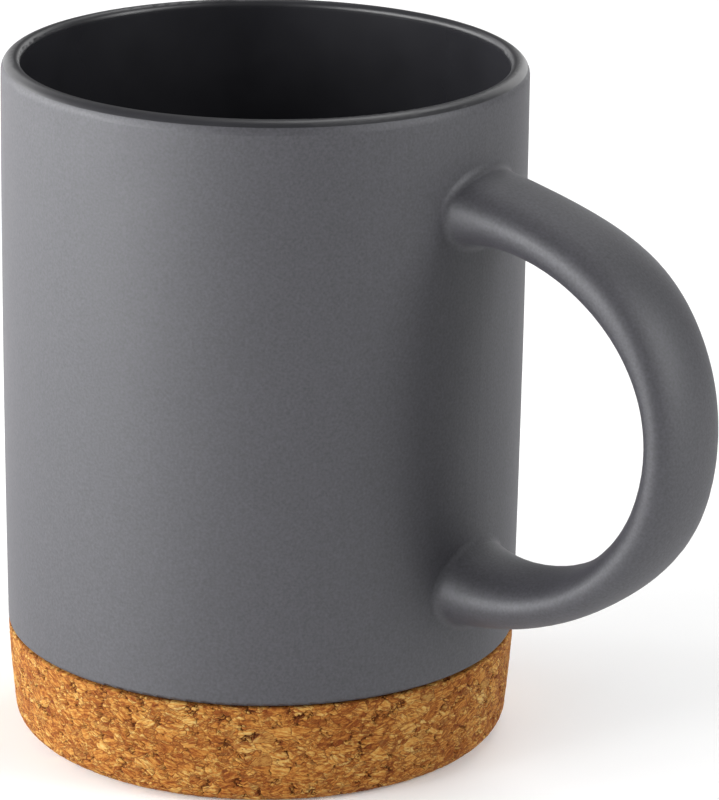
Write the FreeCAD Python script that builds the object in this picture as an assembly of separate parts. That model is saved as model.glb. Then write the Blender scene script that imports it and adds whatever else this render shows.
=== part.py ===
"""Rigid stoneware mug with a strap handle and a glued cork base.

Units are millimetres.  Origin: centre of the underside, on the table.
+Z is up through the mouth, and the handle lies along +X.
Each physical piece is its own solid and its own STEP file in parts/.
"""
import math
import os

import FreeCAD
import Part

Vec = FreeCAD.Vector

# ---------------------------------------------------------------- driving dimensions
# vessel
HEIGHT = 114.4            # table to the crown of the lip
RIM_R = 43.0              # outer radius at the rim, over the glaze
BELLY_R = 43.1            # outer radius half way up
SEAM_R = 42.72            # outer radius just above the cork
SEAM_Z = 17.8             # lower edge of the glazed wall
SEAM_EDGE_R = 0.7         # rounding of that lower edge
WALL = 3.1                # wall thickness over both glazes
LIP_OUT_R = 2.1           # rounding on the outside of the lip
LIP_IN_R = WALL - LIP_OUT_R
FLOOR_Z = 14.0            # inside floor, over the glaze
FLOOR_CORNER_R = 14.0     # rounding between the inside floor and the wall

# foot that steps in under the wall and sits in the cork
FOOT_R = 39.0
FOOT_Z = 5.6
FOOT_EDGE_R = 1.4

# glazes
GLAZE = 0.35              # thickness of either glaze
GLAZE_LINE_Z = HEIGHT - 0.9   # where the lining's gloss glaze ends on the outside of the lip

# cork base and its glue film
CORK_TOP_R = 42.7
CORK_MID_R = 42.4
CORK_MID_Z = 9.5
CORK_LOW_R = 41.7
CORK_EDGE_R = 3.5         # rounding round the underside
CORK_TOP_Z = 17.5
CORK_TOP_EDGE = 0.3
GLUE_SIDE = 0.2           # film beside the foot
GLUE_FLOOR = 0.4          # film under the foot
GLUE_TOP_Z = 16.9

# handle: evenly spaced stations down the strap, from inside the wall at the top to inside the
# wall at the bottom: distance from the mug's axis, height, width, thickness, squareness.
# Squareness is the power of the section's superellipse: 2 is an ellipse, 4 is nearly a rectangle.
HANDLE = [
    (40.0, 96.4, 20.2, 13.4, 2.3),
    (55.1, 94.7, 17.8, 9.4, 2.1),
    (68.8, 88.4, 18.3, 9.5, 2.2),
    (77.3, 78.2, 18.2, 8.8, 2.1),
    (80.6, 65.3, 18.2, 7.9, 2.1),
    (77.7, 50.3, 18.2, 8.6, 2.1),
    (67.7, 38.7, 18.1, 7.8, 2.2),
    (54.1, 32.9, 17.4, 9.6, 2.0),
    (40.0, 33.3, 20.1, 15.2, 2.0),
]
HANDLE_SECTIONS = 25      # sections that the strap is lofted through
SECTION_POINTS = 32       # points that each section's closed curve passes
ROOT_FILLET = 1.4         # glaze surface between handle and wall
ROOT_SLIP = 0.9           # leg of the clay slip collar under that surface

AXIS_POINT = Vec(0, 0, 0)
AXIS = Vec(0, 0, 1)


# ---------------------------------------------------------------- profile helpers
def pt(radius, height):
    """A point of a profile in the XZ plane."""
    return Vec(radius, 0, height)


def line(a, b):
    return Part.makeLine(a, b)


def arc_three(a, mid, b):
    """Arc through three points."""
    return Part.Arc(a, mid, b).toShape()


def arc_about(centre, radius, start, end):
    """Arc about a centre between two angles in degrees, measured from +X towards +Z."""
    angles = [math.radians(t) for t in (start, 0.5 * (start + end), end)]
    points = [centre + Vec(radius * math.cos(t), 0, radius * math.sin(t)) for t in angles]
    return arc_three(*points)


def revolve(edges):
    """Solid of revolution about the Z axis of a closed profile."""
    face = Part.Face(Part.Wire(Part.__sortEdges__(edges)))
    solid = face.revolve(AXIS_POINT, AXIS, 360)
    if solid.ShapeType != "Solid":
        solid = Part.Solid(solid.Shells[0])
    if solid.Volume < 0:
        solid.reverse()
    return solid


def lip_centres():
    """Centres of the outer and inner lip roundings; both roundings meet at the crown."""
    crown_r = RIM_R - LIP_OUT_R
    return pt(crown_r, HEIGHT - LIP_OUT_R), pt(crown_r, HEIGHT - LIP_IN_R)


def wall_edges(inset):
    """Outside of the vessel from the seam's edge to the crown, moved inwards by inset."""
    outer_c, _inner_c = lip_centres()
    edge_c = pt(SEAM_R - SEAM_EDGE_R, SEAM_Z + SEAM_EDGE_R)
    low = pt(SEAM_R - inset, edge_c.z)
    mid = pt(BELLY_R - inset, 0.55 * HEIGHT)
    high = pt(RIM_R - inset, outer_c.z)
    seam_edge = arc_about(edge_c, SEAM_EDGE_R - inset, -90, 0)
    wall = arc_three(low, mid, high)
    lip = arc_about(outer_c, LIP_OUT_R - inset, 0, 90)
    return [seam_edge, wall, lip]


def cavity_edges(inset):
    """Inside of the vessel from the crown to the axis, moved into the wall by inset."""
    _outer_c, inner_c = lip_centres()
    inner_r = RIM_R - WALL + inset
    corner_c = pt(RIM_R - WALL - FLOOR_CORNER_R, FLOOR_Z + FLOOR_CORNER_R)
    floor_z = FLOOR_Z - inset
    lip = arc_about(inner_c, LIP_IN_R - inset, 90, 180)
    wall = line(pt(inner_r, inner_c.z), pt(inner_r, corner_c.z))
    corner = arc_about(corner_c, FLOOR_CORNER_R + inset, 0, -90)
    floor = line(pt(corner_c.x, floor_z), pt(0, floor_z))
    return [lip, wall, corner, floor]


# ---------------------------------------------------------------- vessel pieces
def outer_form():
    """Solid form of the vessel's outside over the glaze, with no cavity."""
    edges = wall_edges(0.0)
    foot_r = SEAM_R - SEAM_EDGE_R
    edges.append(line(pt(RIM_R - LIP_OUT_R, HEIGHT), pt(0, HEIGHT)))
    edges.append(line(pt(0, HEIGHT), pt(0, SEAM_Z)))
    edges.append(line(pt(0, SEAM_Z), pt(foot_r, SEAM_Z)))
    return revolve(edges)


def core_form():
    """Solid form of the bare clay's outside above the seam, with no cavity."""
    edges = wall_edges(GLAZE)
    top_z = HEIGHT - GLAZE
    low_z = SEAM_Z + GLAZE
    edges.append(line(pt(RIM_R - LIP_OUT_R, top_z), pt(0, top_z)))
    edges.append(line(pt(0, top_z), pt(0, low_z)))
    edges.append(line(pt(0, low_z), pt(SEAM_R - SEAM_EDGE_R, low_z)))
    return revolve(edges)


def make_mug_body():
    """Clay vessel with its floor and the foot that steps in under the wall."""
    low_z = SEAM_Z + GLAZE
    foot_c = pt(FOOT_R - FOOT_EDGE_R, FOOT_Z + FOOT_EDGE_R)
    edges = wall_edges(GLAZE) + cavity_edges(GLAZE)
    edges.append(line(pt(0, FLOOR_Z - GLAZE), pt(0, FOOT_Z)))
    edges.append(line(pt(0, FOOT_Z), pt(foot_c.x, FOOT_Z)))
    edges.append(arc_about(foot_c, FOOT_EDGE_R, -90, 0))
    edges.append(line(pt(FOOT_R, foot_c.z), pt(FOOT_R, low_z)))
    edges.append(line(pt(FOOT_R, low_z), pt(SEAM_R - SEAM_EDGE_R, low_z)))
    return revolve(edges)


def make_inner_glaze():
    """Gloss lining of the cavity, over the crown and a little way down the outside of the lip."""
    outer_c, _inner_c = lip_centres()
    rise = GLAZE_LINE_Z - outer_c.z
    outer_angle = math.degrees(math.asin(rise / LIP_OUT_R))
    core_angle = math.degrees(math.asin(rise / (LIP_OUT_R - GLAZE)))
    outer_end = pt(outer_c.x + LIP_OUT_R * math.cos(math.radians(outer_angle)), GLAZE_LINE_Z)
    core_end = pt(outer_c.x + (LIP_OUT_R - GLAZE) * math.cos(math.radians(core_angle)), GLAZE_LINE_Z)
    edges = cavity_edges(0.0) + cavity_edges(GLAZE)
    edges.append(arc_about(outer_c, LIP_OUT_R, outer_angle, 90))
    edges.append(arc_about(outer_c, LIP_OUT_R - GLAZE, core_angle, 90))
    edges.append(line(outer_end, core_end))
    edges.append(line(pt(0, FLOOR_Z), pt(0, FLOOR_Z - GLAZE)))
    return revolve(edges)


# ---------------------------------------------------------------- cork base
def make_cork_base():
    """One-piece cork cup with a rounded underside edge and a pocket for the foot."""
    edge_c = pt(CORK_LOW_R - CORK_EDGE_R, CORK_EDGE_R)
    pocket_r = FOOT_R + GLUE_SIDE
    pocket_z = FOOT_Z - GLUE_FLOOR
    rim_z = CORK_TOP_Z - CORK_TOP_EDGE
    edges = [line(pt(0, 0), pt(edge_c.x, 0))]
    edges.append(arc_about(edge_c, CORK_EDGE_R, -90, 0))
    edges.append(arc_three(pt(CORK_LOW_R, CORK_EDGE_R), pt(CORK_MID_R, CORK_MID_Z), pt(CORK_TOP_R, rim_z)))
    edges.append(line(pt(CORK_TOP_R, rim_z), pt(CORK_TOP_R - CORK_TOP_EDGE, CORK_TOP_Z)))
    edges.append(line(pt(CORK_TOP_R - CORK_TOP_EDGE, CORK_TOP_Z), pt(pocket_r, CORK_TOP_Z)))
    edges.append(line(pt(pocket_r, CORK_TOP_Z), pt(pocket_r, pocket_z)))
    edges.append(line(pt(pocket_r, pocket_z), pt(0, pocket_z)))
    edges.append(line(pt(0, pocket_z), pt(0, 0)))
    return revolve(edges)


def make_base_adhesive():
    """Glue film that fills the gap between the foot and the cork's pocket."""
    foot_c = pt(FOOT_R - FOOT_EDGE_R, FOOT_Z + FOOT_EDGE_R)
    pocket_r = FOOT_R + GLUE_SIDE
    pocket_z = FOOT_Z - GLUE_FLOOR
    edges = [line(pt(0, pocket_z), pt(pocket_r, pocket_z))]
    edges.append(line(pt(pocket_r, pocket_z), pt(pocket_r, GLUE_TOP_Z)))
    edges.append(line(pt(pocket_r, GLUE_TOP_Z), pt(FOOT_R, GLUE_TOP_Z)))
    edges.append(line(pt(FOOT_R, GLUE_TOP_Z), pt(FOOT_R, foot_c.z)))
    edges.append(arc_about(foot_c, FOOT_EDGE_R, 0, -90))
    edges.append(line(pt(foot_c.x, FOOT_Z), pt(0, FOOT_Z)))
    edges.append(line(pt(0, FOOT_Z), pt(0, pocket_z)))
    return revolve(edges)


# ---------------------------------------------------------------- handle
def through(points, closed=False):
    """Smooth curve that passes each point at parameter 0, 1, 2 and so on."""
    curve = Part.BSplineCurve()
    count = len(points) + (1 if closed else 0)
    curve.interpolate(Points=points, PeriodicFlag=closed, Parameters=[float(i) for i in range(count)])
    return curve


def section(centre, half_width, half_thick, squareness):
    """Closed superellipse wire spanned by two half-axis vectors about a centre."""
    points = []
    for i in range(SECTION_POINTS):
        angle = 2 * math.pi * i / SECTION_POINTS
        c = math.cos(angle)
        s = math.sin(angle)
        reach = (abs(c) ** squareness + abs(s) ** squareness) ** (-1.0 / squareness)
        points.append(centre + half_width * (c * reach) + half_thick * (s * reach))
    return Part.Wire([through(points, closed=True).toShape()])


def strap(inset):
    """Strap handle lofted through sections along its centreline; its ends lie inside the wall."""
    centreline = through([pt(distance, height) for distance, height, _w, _t, _n in HANDLE])
    sizes = through([Vec(0.5 * width, 0.5 * thick, square) for _r, _z, width, thick, square in HANDLE])
    width_dir = Vec(0, 1, 0)
    sections = []
    for i in range(HANDLE_SECTIONS):
        u = i * (len(HANDLE) - 1.0) / (HANDLE_SECTIONS - 1.0)
        thick_dir = centreline.tangent(u)[0].cross(width_dir)
        size = sizes.value(u)
        half_width = width_dir * (size.x - inset)
        half_thick = thick_dir * (size.y - inset)
        sections.append(section(centreline.value(u), half_width, half_thick, size.z))
    return Part.makeLoft(sections, True, False)


def root_edges(shape, low_z, high_z):
    """Edges where the strap meets the vessel's wall, between two heights."""
    found = []
    for edge in shape.Edges:
        points = edge.discretize(9)
        on_wall = all(abs(math.hypot(p.x, p.y) - RIM_R) < 0.8 for p in points)
        near_root = all(p.x > 20 and low_z < p.z < high_z for p in points)
        if on_wall and near_root:
            found.append(edge)
    return found


def make_handle(core):
    """Bare clay strap, cut to fit the bare clay wall."""
    solids = strap(GLAZE).cut(core).Solids
    return max(solids, key=lambda s: s.Volume)


def make_slip_joint(core, handle, low_z, high_z):
    """Ring of clay slip in the corner between the wall and one root of the strap."""
    joined = core.fuse(strap(GLAZE))
    slipped = joined.makeChamfer(ROOT_SLIP, root_edges(joined, low_z, high_z))
    ring = slipped.cut(core).cut(handle)
    solids = [s for s in ring.Solids if s.BoundBox.ZMin > low_z and s.BoundBox.ZMax < high_z]
    return max(solids, key=lambda s: s.Volume)


def make_outer_glaze(core, handle, joints):
    """Matte glaze over the vessel's outside, the strap and both joints."""
    form = outer_form().fuse(strap(0.0))
    form = form.makeFillet(ROOT_FILLET, root_edges(form, SEAM_Z + 2, GLAZE_LINE_Z - 2))
    skin = form.cut(core).cut(handle)
    for joint in joints:
        skin = skin.cut(joint)
    inner_r = SEAM_R - SEAM_EDGE_R
    skin = skin.cut(Part.makeCylinder(inner_r, SEAM_Z + GLAZE))
    lip = Part.makeCylinder(2 * RIM_R, HEIGHT, pt(0, GLAZE_LINE_Z))
    skin = skin.cut(lip)
    return max(skin.Solids, key=lambda s: s.Volume)


# ---------------------------------------------------------------- output
def build():
    """Every piece by node name."""
    core = core_form()
    handle = make_handle(core)
    mid_z = 0.5 * (HANDLE[0][1] + HANDLE[-1][1])
    upper = make_slip_joint(core, handle, mid_z, GLAZE_LINE_Z - 2)
    lower = make_slip_joint(core, handle, SEAM_Z + 2, mid_z)
    return {
        "mug_body": make_mug_body(),
        "handle": handle,
        "upper_handle_joint": upper,
        "lower_handle_joint": lower,
        "outer_glaze": make_outer_glaze(core, handle, [upper, lower]),
        "inner_glaze": make_inner_glaze(),
        "base_adhesive": make_base_adhesive(),
        "cork_base": make_cork_base(),
    }


os.makedirs("parts", exist_ok=True)
for name, solid in build().items():
    print(name, solid.ShapeType, solid.isValid(), round(solid.Volume, 1), solid.BoundBox)
    solid.exportStep(os.path.join("parts", name + ".step"))
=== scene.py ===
"""Looks of the stoneware mug with a cork base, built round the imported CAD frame."""
import math

import bpy
import numpy as np
from mathutils import Matrix, Vector


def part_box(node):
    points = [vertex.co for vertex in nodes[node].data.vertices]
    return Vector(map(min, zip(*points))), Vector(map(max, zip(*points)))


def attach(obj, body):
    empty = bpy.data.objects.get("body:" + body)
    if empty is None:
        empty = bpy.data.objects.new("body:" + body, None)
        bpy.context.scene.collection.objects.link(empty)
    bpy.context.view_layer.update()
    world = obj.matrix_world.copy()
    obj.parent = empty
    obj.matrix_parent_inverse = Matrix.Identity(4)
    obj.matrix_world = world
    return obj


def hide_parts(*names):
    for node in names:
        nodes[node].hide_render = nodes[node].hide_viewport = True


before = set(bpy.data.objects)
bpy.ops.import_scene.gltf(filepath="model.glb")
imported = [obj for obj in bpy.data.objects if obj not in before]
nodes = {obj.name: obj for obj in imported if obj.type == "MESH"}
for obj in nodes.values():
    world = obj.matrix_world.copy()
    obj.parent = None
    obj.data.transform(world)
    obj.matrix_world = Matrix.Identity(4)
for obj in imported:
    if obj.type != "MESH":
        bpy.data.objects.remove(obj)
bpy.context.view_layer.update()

MM = 0.001
scene = bpy.context.scene


# ------------------------------------------------------------------ camera
SENSOR_MM = 36.0
LENS_MM = 190.5255
CLIP_NEAR = 0.02
CLIP_FAR = 30.0
CAMERA_DISTANCE = 0.67067      # horizontal, from the mug's axis
CAMERA_HEIGHT = 0.27850
CAMERA_AZIMUTH = math.radians(36.0)
CAMERA_YAW = math.radians(1.376)
CAMERA_PITCH = math.radians(18.379)
CAMERA_ROLL = math.radians(0.903)


def add_camera():
    """Camera a little above the rim, from where the handle points right and a little forward."""
    yaw, pitch, roll = CAMERA_YAW, CAMERA_PITCH, CAMERA_ROLL
    forward = Vector((math.sin(yaw) * math.cos(pitch), math.cos(yaw) * math.cos(pitch), -math.sin(pitch)))
    right = Vector((math.cos(yaw), -math.sin(yaw), 0.0))
    up = right.cross(forward)
    rolled_right = right * math.cos(roll) + up * math.sin(roll)
    rolled_up = up * math.cos(roll) - right * math.sin(roll)
    basis = Matrix((rolled_right, rolled_up, -forward)).transposed()
    turn = Matrix.Rotation(CAMERA_AZIMUTH, 3, "Z")
    place = turn @ Vector((0, -CAMERA_DISTANCE, CAMERA_HEIGHT))
    data = bpy.data.cameras.new("camera")
    data.sensor_width = SENSOR_MM
    data.lens = LENS_MM
    data.clip_start = CLIP_NEAR
    data.clip_end = CLIP_FAR
    camera = bpy.data.objects.new("camera", data)
    camera.matrix_world = Matrix.Translation(place) @ (turn @ basis).to_4x4()
    scene.collection.objects.link(camera)
    scene.camera = camera


# ------------------------------------------------------------------ node helpers
class Tree:
    """Short-hand for building shader and geometry node trees."""

    def __init__(self, tree):
        self.tree = tree

    def node(self, kind, inputs=None, **settings):
        n = self.tree.nodes.new(kind)
        for key, value in settings.items():
            setattr(n, key, value)
        for key, value in (inputs or {}).items():
            self.feed(n.inputs[key], value)
        return n

    def feed(self, socket, value):
        """Links a socket to the input, or sets the input's own value."""
        if isinstance(value, bpy.types.NodeSocket):
            self.tree.links.new(value, socket)
        else:
            socket.default_value = value

    def math(self, op, a, b=0.0, clamp=False):
        return self.node("ShaderNodeMath", {0: a, 1: b}, operation=op, use_clamp=clamp).outputs[0]

    def vmath(self, op, a, b):
        return self.node("ShaderNodeVectorMath", {0: a, 1: b}, operation=op).outputs[0]

    def scale(self, v, k):
        return self.node("ShaderNodeVectorMath", {0: v, "Scale": k}, operation="SCALE").outputs[0]

    def swing(self, value, gain):
        """How far the value is from one half, times the gain."""
        return self.math("MULTIPLY", self.math("SUBTRACT", value, 0.5), gain)

    def total(self, first, *others):
        for other in others:
            first = self.math("ADD", first, other)
        return first

    def mix(self, t, a, b):
        """Number mix."""
        n = self.node("ShaderNodeMix", data_type="FLOAT")
        self.feed(n.inputs[0], t)
        self.feed(n.inputs[2], a)
        self.feed(n.inputs[3], b)
        return n.outputs[0]

    def mix_colour(self, t, a, b):
        """Colour mix."""
        n = self.node("ShaderNodeMix", data_type="RGBA")
        self.feed(n.inputs[0], t)
        self.feed(n.inputs[6], a)
        self.feed(n.inputs[7], b)
        return n.outputs[2]

    def smooth(self, value, low, high, out_low=0.0, out_high=1.0):
        n = self.node("ShaderNodeMapRange", interpolation_type="SMOOTHSTEP")
        for i, v in enumerate((value, low, high, out_low, out_high)):
            self.feed(n.inputs[i], v)
        return n.outputs[0]

    def noise(self, vector, scale, detail=2.0, rough=0.5):
        inputs = {"Vector": vector, "Scale": scale, "Detail": detail, "Roughness": rough}
        return self.node("ShaderNodeTexNoise", inputs).outputs[0]

    def wander(self, vector, scale, detail, reach):
        """The place, moved by noise; the reach is the whole width of the movement."""
        inputs = {"Vector": vector, "Scale": scale, "Detail": detail}
        colour = self.node("ShaderNodeTexNoise", inputs).outputs[1]
        shift = self.vmath("SUBTRACT", colour, (0.5, 0.5, 0.5))
        return self.vmath("ADD", vector, self.scale(shift, reach))

    def voronoi(self, vector, scale, feature="F1"):
        return self.node("ShaderNodeTexVoronoi", {"Vector": vector, "Scale": scale}, feature=feature)

    def ramp(self, value, stops):
        n = self.node("ShaderNodeValToRGB", {0: value})
        while len(n.color_ramp.elements) < len(stops):
            n.color_ramp.elements.new(0.5)
        for element, (position, colour) in zip(n.color_ramp.elements, stops):
            element.position = position
            element.color = (*colour, 1.0)
        return n.outputs[0]

    def bump(self, height, strength, distance, normal=None):
        n = self.node("ShaderNodeBump", {"Height": height, "Strength": strength, "Distance": distance})
        if normal is not None:
            self.feed(n.inputs["Normal"], normal)
        return n.outputs[0]


def new_material(name):
    """A material with a Principled shader; returns it, its tree helper and the shader."""
    material = bpy.data.materials.new(name)
    material.use_nodes = True
    return material, Tree(material.node_tree), material.node_tree.nodes["Principled BSDF"]


def object_coordinates(tree):
    return tree.node("ShaderNodeTexCoord").outputs["Object"]


# ------------------------------------------------------------------ ceramic materials
GLAZE_GRAIN = 2300.0           # noise cells per metre, as in the other patterns
GLAZE_CLOUD = 130.0
GLAZE_TONE = 0.028             # the glaze's mean lightness
GLAZE_CONTRAST = (0.2, 1.8)    # darkest and lightest grain, as shares of the mean
GLAZE_TINT = (1.02, 0.97, 1.20)
GLAZE_SHEEN = (0.955, 0.965, 1.0, 1.0)
GLAZE_SPECULAR = 1.0
GLAZE_ROUGHNESS = (0.56, 0.64)

LINING_PEEL = 260.0
LINING_CLOUD = 60.0
LINING_TONES = [(0.3, (0.015, 0.015, 0.0175)), (0.7, (0.023, 0.023, 0.0265))]
LINING_ROUGHNESS = (0.18, 0.25)
LIP_ROUGHNESS = (0.32, 0.40)
SATIN_LIP = 1.8 * MM           # how far down the lip the lining starts to turn satin
SATIN_FULL = 0.3               # and the share of that depth at which it is fully so

CLAY_DARK = (0.44, 0.39, 0.33)
CLAY_LIGHT = (0.62, 0.57, 0.5)
CLAY_SPECK = (0.2, 0.13, 0.08, 1.0)
SLIP_LIGHTNESS = 0.92          # the slip fires a little darker than the clay

GLUE_TONES = [(0.3, (0.40, 0.31, 0.16)), (0.7, (0.58, 0.5, 0.33))]


def matte_grey_glaze():
    """Satin-matte slate grey glaze: fine grain, faint clouding, dry surface."""
    material, t, shader = new_material("matte_grey_glaze")
    co = object_coordinates(t)
    grain = t.noise(co, GLAZE_GRAIN, 1.0, 0.5)
    cloud = t.noise(co, GLAZE_CLOUD, 3.0, 0.55)
    tone = t.math("ADD", t.total(t.swing(grain, 1.1), t.swing(cloud, 0.20)), 0.5, clamp=True)
    dark, light = (tuple(GLAZE_TONE * k * c for c in GLAZE_TINT) for k in GLAZE_CONTRAST)
    t.feed(shader.inputs["Base Color"], t.ramp(tone, [(0.0, dark), (1.0, light)]))
    t.feed(shader.inputs["Roughness"], t.mix(cloud, *GLAZE_ROUGHNESS))
    shader.inputs["Diffuse Roughness"].default_value = 0.8
    shader.inputs["Specular IOR Level"].default_value = GLAZE_SPECULAR
    shader.inputs["Specular Tint"].default_value = GLAZE_SHEEN
    fine = t.bump(grain, 0.3, 0.05 * MM)
    t.feed(shader.inputs["Normal"], t.bump(cloud, 0.3, 0.2 * MM, fine))
    return material


def gloss_black_glaze():
    """Gloss black lining with a trace of orange-peel, satin where it thins over the lip."""
    material, t, shader = new_material("gloss_black_glaze")
    co = object_coordinates(t)
    peel = t.noise(co, LINING_PEEL, 2.0)
    t.feed(shader.inputs["Base Color"], t.ramp(t.noise(co, LINING_CLOUD, 3.0), LINING_TONES))
    rim_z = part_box("inner_glaze")[1].z
    height = t.node("ShaderNodeSeparateXYZ", {0: co}).outputs[2]
    lip = t.smooth(height, rim_z - SATIN_LIP, rim_z - SATIN_FULL * SATIN_LIP)
    roughness = t.mix(lip, t.mix(peel, *LINING_ROUGHNESS), t.mix(peel, *LIP_ROUGHNESS))
    t.feed(shader.inputs["Roughness"], roughness)
    t.feed(shader.inputs["Normal"], t.bump(peel, 0.08, 0.2 * MM))
    return material


def bare_clay(name, lightness):
    """Unglazed fired clay with iron specks, as seen only where the glaze is cut away."""
    material, t, shader = new_material(name)
    co = object_coordinates(t)
    grain = t.noise(co, 1500.0, 4.0, 0.65)
    dark, light = (tuple(lightness * c for c in tone) for tone in (CLAY_DARK, CLAY_LIGHT))
    body = t.ramp(grain, [(0.3, dark), (0.7, light)])
    specks = t.smooth(t.voronoi(co, 700.0).outputs["Distance"], 0.06, 0.14, 1.0, 0.0)
    t.feed(shader.inputs["Base Color"], t.mix_colour(specks, body, CLAY_SPECK))
    t.feed(shader.inputs["Roughness"], t.mix(grain, 0.75, 0.9))
    t.feed(shader.inputs["Normal"], t.bump(grain, 0.3, 0.1 * MM))
    return material


def cured_glue():
    """Amber glue film."""
    material, t, shader = new_material("adhesive")
    smear = t.noise(object_coordinates(t), 300.0, 3.0)
    t.feed(shader.inputs["Base Color"], t.ramp(smear, GLUE_TONES))
    t.feed(shader.inputs["Roughness"], t.mix(smear, 0.3, 0.5))
    t.feed(shader.inputs["Normal"], t.bump(smear, 0.2, 0.2 * MM))
    return material


# ------------------------------------------------------------------ cork pattern
CORK_FLATTEN = 1.9             # granules are pressed flat, so they look longer sideways
BIG_GRANULE = 2.6 * MM
SMALL_GRANULE = 1.25 * MM
CRUSHED_SHARE = 0.60           # share of the big granules that are crushed into small ones
GRANULE_WANDER = (700.0, 3.0, 1.2 * MM)    # noise cells per metre, noise detail, reach
PORE_SPACING = 1.35 * MM
PORE_FLATTEN = 1.25
PORE_WANDER = (1600.0, 2.0, 0.5 * MM)
PORE_FREE_SHARE = 0.66         # share of the places for a pinhole that have none
PORE_RADIUS = (0.08, 0.21)     # in shares of the spacing
CRACK_CLOUD = 520.0            # cracks come in patches of this many per metre
CRACK_WIDTH = 0.15             # mm
SEAM_WIDTH = 0.16              # mm, of the dark edge of a granule
FIBRE_TURN = (1.3, 1.3, 6.0)   # radians over which a granule's fibres turn about x, y and z
FIBRE_GRAIN = 1150.0
FIBRE_STRETCH = (0.55, 0.55, 2.4)
STREAK_GRAIN = 800.0
STREAK_STRETCH = (0.6, 0.6, 2.2)
HAIR_GRAIN = 620.0
HAIR_STRETCH = (0.4, 0.4, 2.2)
GRIT_GRAIN = 3200.0
PATCH_CLOUD = 120.0
REST_ATTRIBUTE = "cork_rest"
SEPARATE = {"ShaderNodeTree": "ShaderNodeSeparateColor", "GeometryNodeTree": "FunctionNodeSeparateColor"}

CORK_TANS = [
    (0.0, (0.130, 0.031, 0.0048)),
    (0.25, (0.252, 0.080, 0.0125)),
    (0.5, (0.390, 0.162, 0.0310)),
    (0.75, (0.465, 0.254, 0.0630)),
    (1.0, (0.510, 0.338, 0.1150)),
]
CORK_OLIVE = (0.180, 0.103, 0.031, 1.0)
CORK_STREAK = (0.165, 0.036, 0.0055, 1.0)
CORK_LINE = (0.118, 0.024, 0.0035, 1.0)
# near-black painted shade for the depth of the pinholes and cracks
CORK_HOLE_SHADE = (0.070, 0.015, 0.003, 1.0)


def channels(t, colour):
    """The three numbers in a random cell colour."""
    return t.node(SEPARATE[t.tree.bl_idname], {0: colour}).outputs[:3]


def cork_granules(t, co):
    """Two sizes of crushed granule, big ones lying among small ones.

    Returns three random numbers per granule and the distance in mm to its edge."""
    co = t.wander(co, *GRANULE_WANDER)
    co = t.vmath("MULTIPLY", co, (1.0, 1.0, CORK_FLATTEN))
    found = []
    for size in (BIG_GRANULE, SMALL_GRANULE):
        cell = t.voronoi(co, 1.0 / size)
        edge = t.voronoi(co, 1.0 / size, "DISTANCE_TO_EDGE").outputs["Distance"]
        found.append((cell.outputs["Color"], t.math("MULTIPLY", edge, size / MM)))
    (big_colour, big_edge), (small_colour, small_edge) = found
    whole = t.math("GREATER_THAN", channels(t, big_colour)[2], CRUSHED_SHARE)
    colour = t.mix_colour(whole, small_colour, big_colour)
    border = t.mix(whole, t.math("MINIMUM", small_edge, big_edge), big_edge)
    return colour, border


def cork_holes(t, co, border):
    """Where the cork is open: pinholes, and cracks along some of the granules' edges (0 to 1)."""
    bent = t.wander(co, *PORE_WANDER)
    pore = t.voronoi(t.vmath("MULTIPLY", bent, (1.0, 1.0, PORE_FLATTEN)), 1.0 / PORE_SPACING)
    wanted, size, _spare = channels(t, pore.outputs["Color"])
    radius = t.smooth(size, 0.0, 1.0, *PORE_RADIUS)
    radius = t.math("MULTIPLY", radius, t.math("GREATER_THAN", wanted, PORE_FREE_SHARE))
    reach = t.math("DIVIDE", pore.outputs["Distance"], t.math("ADD", radius, 0.0001))
    pinhole = t.smooth(t.math("SUBTRACT", 1.0, reach), 0.0, 0.45)
    width = t.smooth(t.noise(co, CRACK_CLOUD, 2.0), 0.53, 0.72, 0.0, CRACK_WIDTH)
    reach = t.math("DIVIDE", border, t.math("ADD", width, 0.001))
    crack = t.smooth(t.math("SUBTRACT", 1.0, reach), 0.0, 0.6)
    return t.math("MAXIMUM", pinhole, crack)


def along_fibres(t, co, granule):
    """The place, turned for each granule, because its fibres run their own way, mostly near level."""
    tilt = t.vmath("MULTIPLY", t.vmath("SUBTRACT", granule, (0.5, 0.5, 0.5)), FIBRE_TURN)
    turned = t.node("ShaderNodeVectorRotate", {"Vector": co, "Rotation": tilt}, rotation_type="EULER_XYZ")
    return turned.outputs[0]


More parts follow.
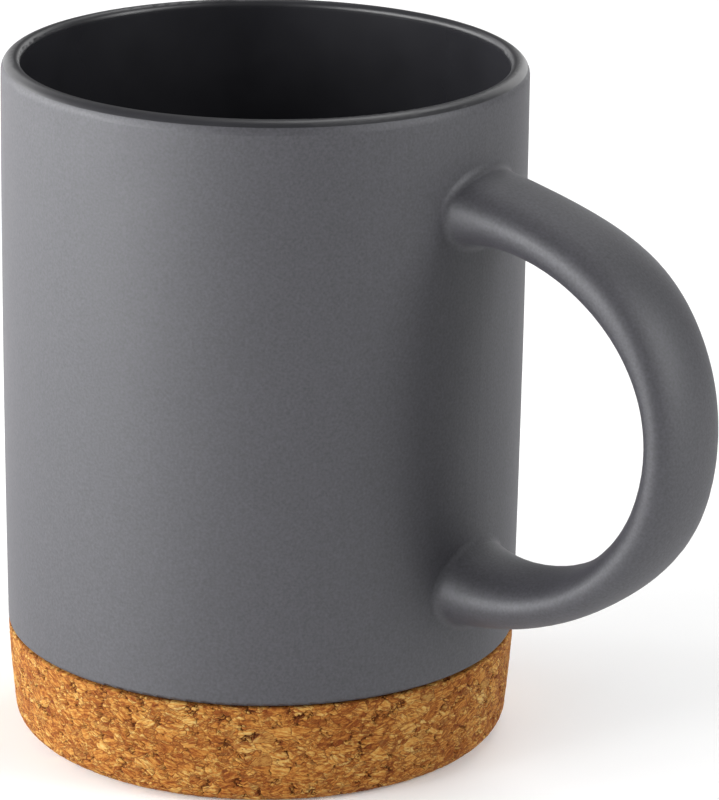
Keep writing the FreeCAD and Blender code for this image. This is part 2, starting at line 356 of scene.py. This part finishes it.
def cork_colour(t, co, granule, border, hole, turned, fibre):
    """Tans by granule and fibre, then streaks, dark edges and hair lines, and painted shade in the holes on
    top.
    """
    tone, hue, fleck = channels(t, granule)
    value = t.total(
        t.swing(tone, 0.42),
        t.swing(fibre, 1.75),
        t.swing(t.noise(co, GRIT_GRAIN, 2.0, 0.6), 0.5),
        t.swing(t.noise(co, PATCH_CLOUD, 2.0), 0.45),
        t.smooth(fleck, 0.90, 0.97, 0.0, 0.15),
        t.smooth(fleck, 0.03, 0.09, -0.28, 0.0),
    )
    colour = t.ramp(t.math("ADD", value, 0.5, clamp=True), CORK_TANS)
    colour = t.mix_colour(t.smooth(hue, 0.88, 0.97, 0.0, 0.35), colour, CORK_OLIVE)
    streaks = t.noise(t.vmath("MULTIPLY", turned, STREAK_STRETCH), STREAK_GRAIN, 3.0)
    colour = t.mix_colour(t.smooth(streaks, 0.53, 0.64, 0.0, 0.70), colour, CORK_STREAK)
    # the granules' edges are dark in some places and faint in others
    depth = t.smooth(t.noise(co, 380.0, 2.0), 0.38, 0.62, 0.15, 0.75)
    seam = t.math("MULTIPLY", t.smooth(border, 0.0, SEAM_WIDTH, 1.0, 0.0), depth)
    hair = t.noise(t.vmath("MULTIPLY", turned, HAIR_STRETCH), HAIR_GRAIN, 2.0)
    hair = t.smooth(t.math("ABSOLUTE", t.math("SUBTRACT", hair, 0.5)), 0.0, 0.035, 1.0, 0.0)
    line = t.math("MAXIMUM", seam, t.math("MULTIPLY", hair, 0.7))
    colour = t.mix_colour(line, colour, CORK_LINE)
    # painted shade: the pinholes and cracks are darkened to near-black
    return t.mix_colour(t.math("MULTIPLY", hole, 0.82), colour, CORK_HOLE_SHADE)


def cork_material():
    """Agglomerated cork: fibrous granules in several tans, thin dark edges, pinholes and flecks."""
    material, t, shader = new_material("cork")
    co = t.node("ShaderNodeAttribute", attribute_name=REST_ATTRIBUTE).outputs["Vector"]
    granule, border = cork_granules(t, co)
    hole = cork_holes(t, co, border)
    turned = along_fibres(t, co, granule)
    fibre = t.noise(t.vmath("MULTIPLY", turned, FIBRE_STRETCH), FIBRE_GRAIN, 3.0, 0.62)
    colour = cork_colour(t, co, granule, border, hole, turned, fibre)
    t.feed(shader.inputs["Base Color"], colour)
    t.feed(shader.inputs["Roughness"], t.mix(fibre, 0.68, 0.9))
    shader.inputs["Specular IOR Level"].default_value = 0.14
    height = t.total(t.smooth(border, 0.0, 0.2), t.math("MULTIPLY", fibre, 1.1))
    height = t.math("SUBTRACT", height, hole)
    t.feed(shader.inputs["Normal"], t.bump(height, 0.55, 0.12 * MM))
    return material


# ------------------------------------------------------------------ cork shape
CORK_TURNS = 900               # grid points round the cork
CORK_STEP = 0.29 * MM          # distance between grid points down its side
CORK_AXIS_R = 0.4 * MM         # inside this radius each flat face is one polygon
CORK_TAPER = 1.0 * MM          # how much smaller its radius is above the lower rounding
TAPER_POWER = 1.35
TAPER_STEPS = 24
TOP_ROUND = 0.25 * MM
TOP_ROUND_END = 10.0           # degrees above level, where the top rounding meets the side
LOW_ROUND = 3.5 * MM
TOP_RELIEF = 0.25              # how strong the relief is on the flats, with 1 on the side
LOW_RELIEF = 0.8
GRANULE_STEP = 0.05 * MM       # how far a granule's face may lie below the smooth side
SEAM_DEPTH = 0.05 * MM
SEAM_REACH = 0.3               # mm, from a granule's edge in to its face
HOLE_DEPTH = 0.40 * MM


def stretch(start, end, step, relief):
    """Profile points from start up to, but without, end, about one step apart."""
    count = max(1, round(math.dist(start, end) / step))
    shares = [i / count for i in range(count)]
    return [(start[0] + (end[0] - start[0]) * k, start[1] + (end[1] - start[1]) * k, relief) for k in shares]


def arc(centre, radius, start, end, steps):
    """Points on an arc with both its ends; angles in degrees."""
    angles = [math.radians(start + (end - start) * i / steps) for i in range(steps + 1)]
    return [(centre[0] + radius * math.cos(a), centre[1] + radius * math.sin(a)) for a in angles]


def cork_side(rim_r, top):
    """Profile points down the outside, evenly spaced: top rounding, taper and lower rounding."""
    low_r = rim_r - CORK_TAPER
    side = arc((rim_r - TOP_ROUND, top - TOP_ROUND), TOP_ROUND, 90.0, TOP_ROUND_END, 9)
    z_top = side[-1][1]
    for i in range(1, TAPER_STEPS + 1):
        k = i / TAPER_STEPS
        side.append((rim_r + (low_r - rim_r) * k ** TAPER_POWER, z_top + (LOW_ROUND - z_top) * k))
    side += arc((low_r - LOW_ROUND, LOW_ROUND), LOW_ROUND, 0.0, -90.0, 16)[1:]
    lengths = np.concatenate([[0], np.cumsum([math.dist(p, q) for p, q in zip(side, side[1:])])])
    at = np.linspace(0, lengths[-1], int(lengths[-1] / CORK_STEP) + 1)[:-1]
    radii = np.interp(at, lengths, [p[0] for p in side])
    heights = np.interp(at, lengths, [p[1] for p in side])
    return [(float(r), float(z), 1.0) for r, z in zip(radii, heights)]


def cork_profile():
    """Profile of the cork cup as (radius, height, relief), sized by the CAD nodes' boxes."""
    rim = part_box("cork_base")[1]
    pocket_low, pocket_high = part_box("base_adhesive")
    pocket_r, pocket_z = pocket_high.x, pocket_low.z
    low_flat_r = rim.x - CORK_TAPER - LOW_ROUND
    points = stretch((CORK_AXIS_R, pocket_z), (pocket_r, pocket_z), 10 * MM, 0.0)
    points += stretch((pocket_r, pocket_z), (pocket_r, rim.z), 4 * MM, 0.0)
    points += stretch((pocket_r, rim.z), (rim.x - TOP_ROUND, rim.z), 0.8 * MM, TOP_RELIEF)
    points += cork_side(rim.x, rim.z)
    points += stretch((low_flat_r, 0.0), (CORK_AXIS_R, 0.0), 1.6 * MM, LOW_RELIEF)
    points.append((CORK_AXIS_R, 0.0, LOW_RELIEF))
    return points


def revolved_mesh(profile):
    """Closed mesh of the profile turned about the axis, with the relief strength at each point."""
    angles = np.linspace(0, 2 * math.pi, CORK_TURNS, endpoint=False)
    r, z, relief = np.array(profile).T
    x = np.outer(r, np.cos(angles)).ravel()
    y = np.outer(r, np.sin(angles)).ravel()
    points = np.stack([x, y, np.repeat(z, CORK_TURNS)], -1)
    i = np.arange(len(profile) - 1)[:, None] * CORK_TURNS
    j = np.arange(CORK_TURNS)[None, :]
    k = (j + 1) % CORK_TURNS
    quads = np.stack([i + j, i + CORK_TURNS + j, i + CORK_TURNS + k, i + k], -1).reshape(-1, 4)
    last = (len(profile) - 1) * CORK_TURNS
    faces = [tuple(quad) for quad in quads.tolist()]
    faces.append(tuple(range(CORK_TURNS)))
    faces.append(tuple(range(last + CORK_TURNS - 1, last - 1, -1)))
    mesh = bpy.data.meshes.new("cork_cup")
    mesh.from_pydata(points.tolist(), [], faces)
    mesh.update()
    strength = np.repeat(relief, CORK_TURNS).astype(np.float32)
    mesh.attributes.new("relief", "FLOAT", "POINT").data.foreach_set("value", strength)
    return mesh


def relief_nodes():
    """Geometry nodes that keep each point's place as an attribute and then press the pattern in."""
    group = bpy.data.node_groups.new("cork_relief", "GeometryNodeTree")
    for direction in ("INPUT", "OUTPUT"):
        group.interface.new_socket("Geometry", in_out=direction, socket_type="NodeSocketGeometry")
    t = Tree(group)
    source = t.node("NodeGroupInput").outputs[0]
    place = t.node("GeometryNodeInputPosition").outputs[0]
    kept = t.node("GeometryNodeStoreNamedAttribute", data_type="FLOAT_VECTOR", domain="POINT")
    t.feed(kept.inputs["Geometry"], source)
    t.feed(kept.inputs["Name"], REST_ATTRIBUTE)
    t.feed(kept.inputs["Value"], place)
    granule, border = cork_granules(t, place)
    uneven = t.math("MULTIPLY", t.math("SUBTRACT", channels(t, granule)[0], 1.0), GRANULE_STEP)
    rounded = t.smooth(border, 0.0, SEAM_REACH, -SEAM_DEPTH, 0.0)
    hollow = t.math("MULTIPLY", cork_holes(t, place, border), -HOLE_DEPTH)
    strength = t.node("GeometryNodeInputNamedAttribute", {"Name": "relief"}, data_type="FLOAT").outputs[0]
    depth = t.math("MULTIPLY", t.total(uneven, rounded, hollow), strength)
    moved = t.node("GeometryNodeSetPosition")
    t.feed(moved.inputs["Geometry"], kept.outputs[0])
    t.feed(moved.inputs["Offset"], t.scale(t.node("GeometryNodeInputNormal").outputs[0], depth))
    t.feed(t.node("NodeGroupOutput").inputs[0], moved.outputs[0])
    return group


def make_cork():
    """Cork cup as a fine revolved grid, with granules and crevices pressed in as real relief."""
    cork = bpy.data.objects.new("cork_cup", revolved_mesh(cork_profile()))
    scene.collection.objects.link(cork)
    cork.modifiers.new("relief", "NODES").node_group = relief_nodes()
    graph = bpy.context.evaluated_depsgraph_get()
    finished = bpy.data.meshes.new_from_object(cork.evaluated_get(graph))
    cork.modifiers.clear()
    cork.data = finished
    cork.data.shade_smooth()
    cork.data.materials.clear()
    cork.data.materials.append(cork_material())
    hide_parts("cork_base")
    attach(cork, "root")


# ------------------------------------------------------------------ floor and light
FLOOR_HALF = 6.0
FLOOR_TONES = [(0.0, (0.90, 0.90, 0.90)), (1.0, (0.92, 0.92, 0.92))]
FLOOR_GLOW = 0.12
WORLD_STRENGTH = 0.17
LIGHT_AIM_Z = 0.06
# name, degrees to the camera's right, distance from the axis, height, size of the box, power
LIGHTS = [
    ("key_front_left", -45.0, 0.9, 0.25, (0.5, 0.6), 4.1),
    ("key_left_front", -65.0, 0.9, 0.20, (0.55, 0.7), 9.0),
    ("key_left", -90.0, 0.9, 0.20, (0.55, 0.7), 5.2),
    ("rim_left", -115.0, 0.9, 0.20, (0.55, 0.7), 6.0),
    ("rim_left_back", -150.0, 0.9, 0.30, (0.5, 0.6), 1.3),
    ("fill_right", 70.0, 0.9, 0.40, (0.3, 0.6), 4.2),
    ("fill_right_high", 62.0, 0.75, 0.65, (0.5, 0.5), 1.8),
    ("rim_right", 150.0, 0.9, 0.30, (0.5, 0.6), 1.6),
    ("back", 150.0, 0.4, 0.80, (0.4, 0.4), 1.7),
]


def add_floor():
    """Plain pale floor that glows a little, so that its shadows stay light."""
    material, t, shader = new_material("floor")
    t.feed(shader.inputs["Base Color"], t.ramp(t.noise(object_coordinates(t), 3.0), FLOOR_TONES))
    shader.inputs["Roughness"].default_value = 0.9
    shader.inputs["Specular IOR Level"].default_value = 0.1
    shader.inputs["Emission Color"].default_value = (1, 1, 1, 1)
    shader.inputs["Emission Strength"].default_value = FLOOR_GLOW
    s = FLOOR_HALF
    mesh = bpy.data.meshes.new("floor")
    mesh.from_pydata([(-s, -s, 0), (s, -s, 0), (s, s, 0), (-s, s, 0)], [], [(0, 1, 2, 3)])
    mesh.materials.append(material)
    floor = bpy.data.objects.new("floor", mesh)
    scene.collection.objects.link(floor)


def area_light(name, azimuth, distance, height, size, power):
    """Soft box on a circle about the mug, turned to face it."""
    data = bpy.data.lights.new(name, "AREA")
    data.shape = "RECTANGLE"
    data.size, data.size_y = size
    data.energy = power
    light = bpy.data.objects.new(name, data)
    angle = CAMERA_AZIMUTH - math.pi / 2 + math.radians(azimuth)
    place = Vector((math.cos(angle) * distance, math.sin(angle) * distance, height))
    light.location = place
    light.rotation_euler = (Vector((0, 0, LIGHT_AIM_Z)) - place).to_track_quat("-Z", "Y").to_euler()
    scene.collection.objects.link(light)


def add_light():
    """Even white surroundings and the soft boxes."""
    world = bpy.data.worlds.new("studio")
    world.use_nodes = True
    background = world.node_tree.nodes["Background"]
    background.inputs["Color"].default_value = (1.0, 1.0, 1.0, 1.0)
    background.inputs["Strength"].default_value = WORLD_STRENGTH
    scene.world = world
    for light in LIGHTS:
        area_light(*light)
    scene.view_settings.view_transform = "Standard"
    scene.view_settings.look = "None"


# ------------------------------------------------------------------ build
def dress(material, *node_names):
    for node_name in node_names:
        for slot in nodes[node_name].material_slots:
            slot.material = material


add_camera()
add_light()
add_floor()
dress(bare_clay("stoneware", 1.0), "mug_body", "handle")
dress(bare_clay("slip", SLIP_LIGHTNESS), "upper_handle_joint", "lower_handle_joint")
dress(matte_grey_glaze(), "outer_glaze")
dress(gloss_black_glaze(), "inner_glaze")
dress(cured_glue(), "base_adhesive")
make_cork()
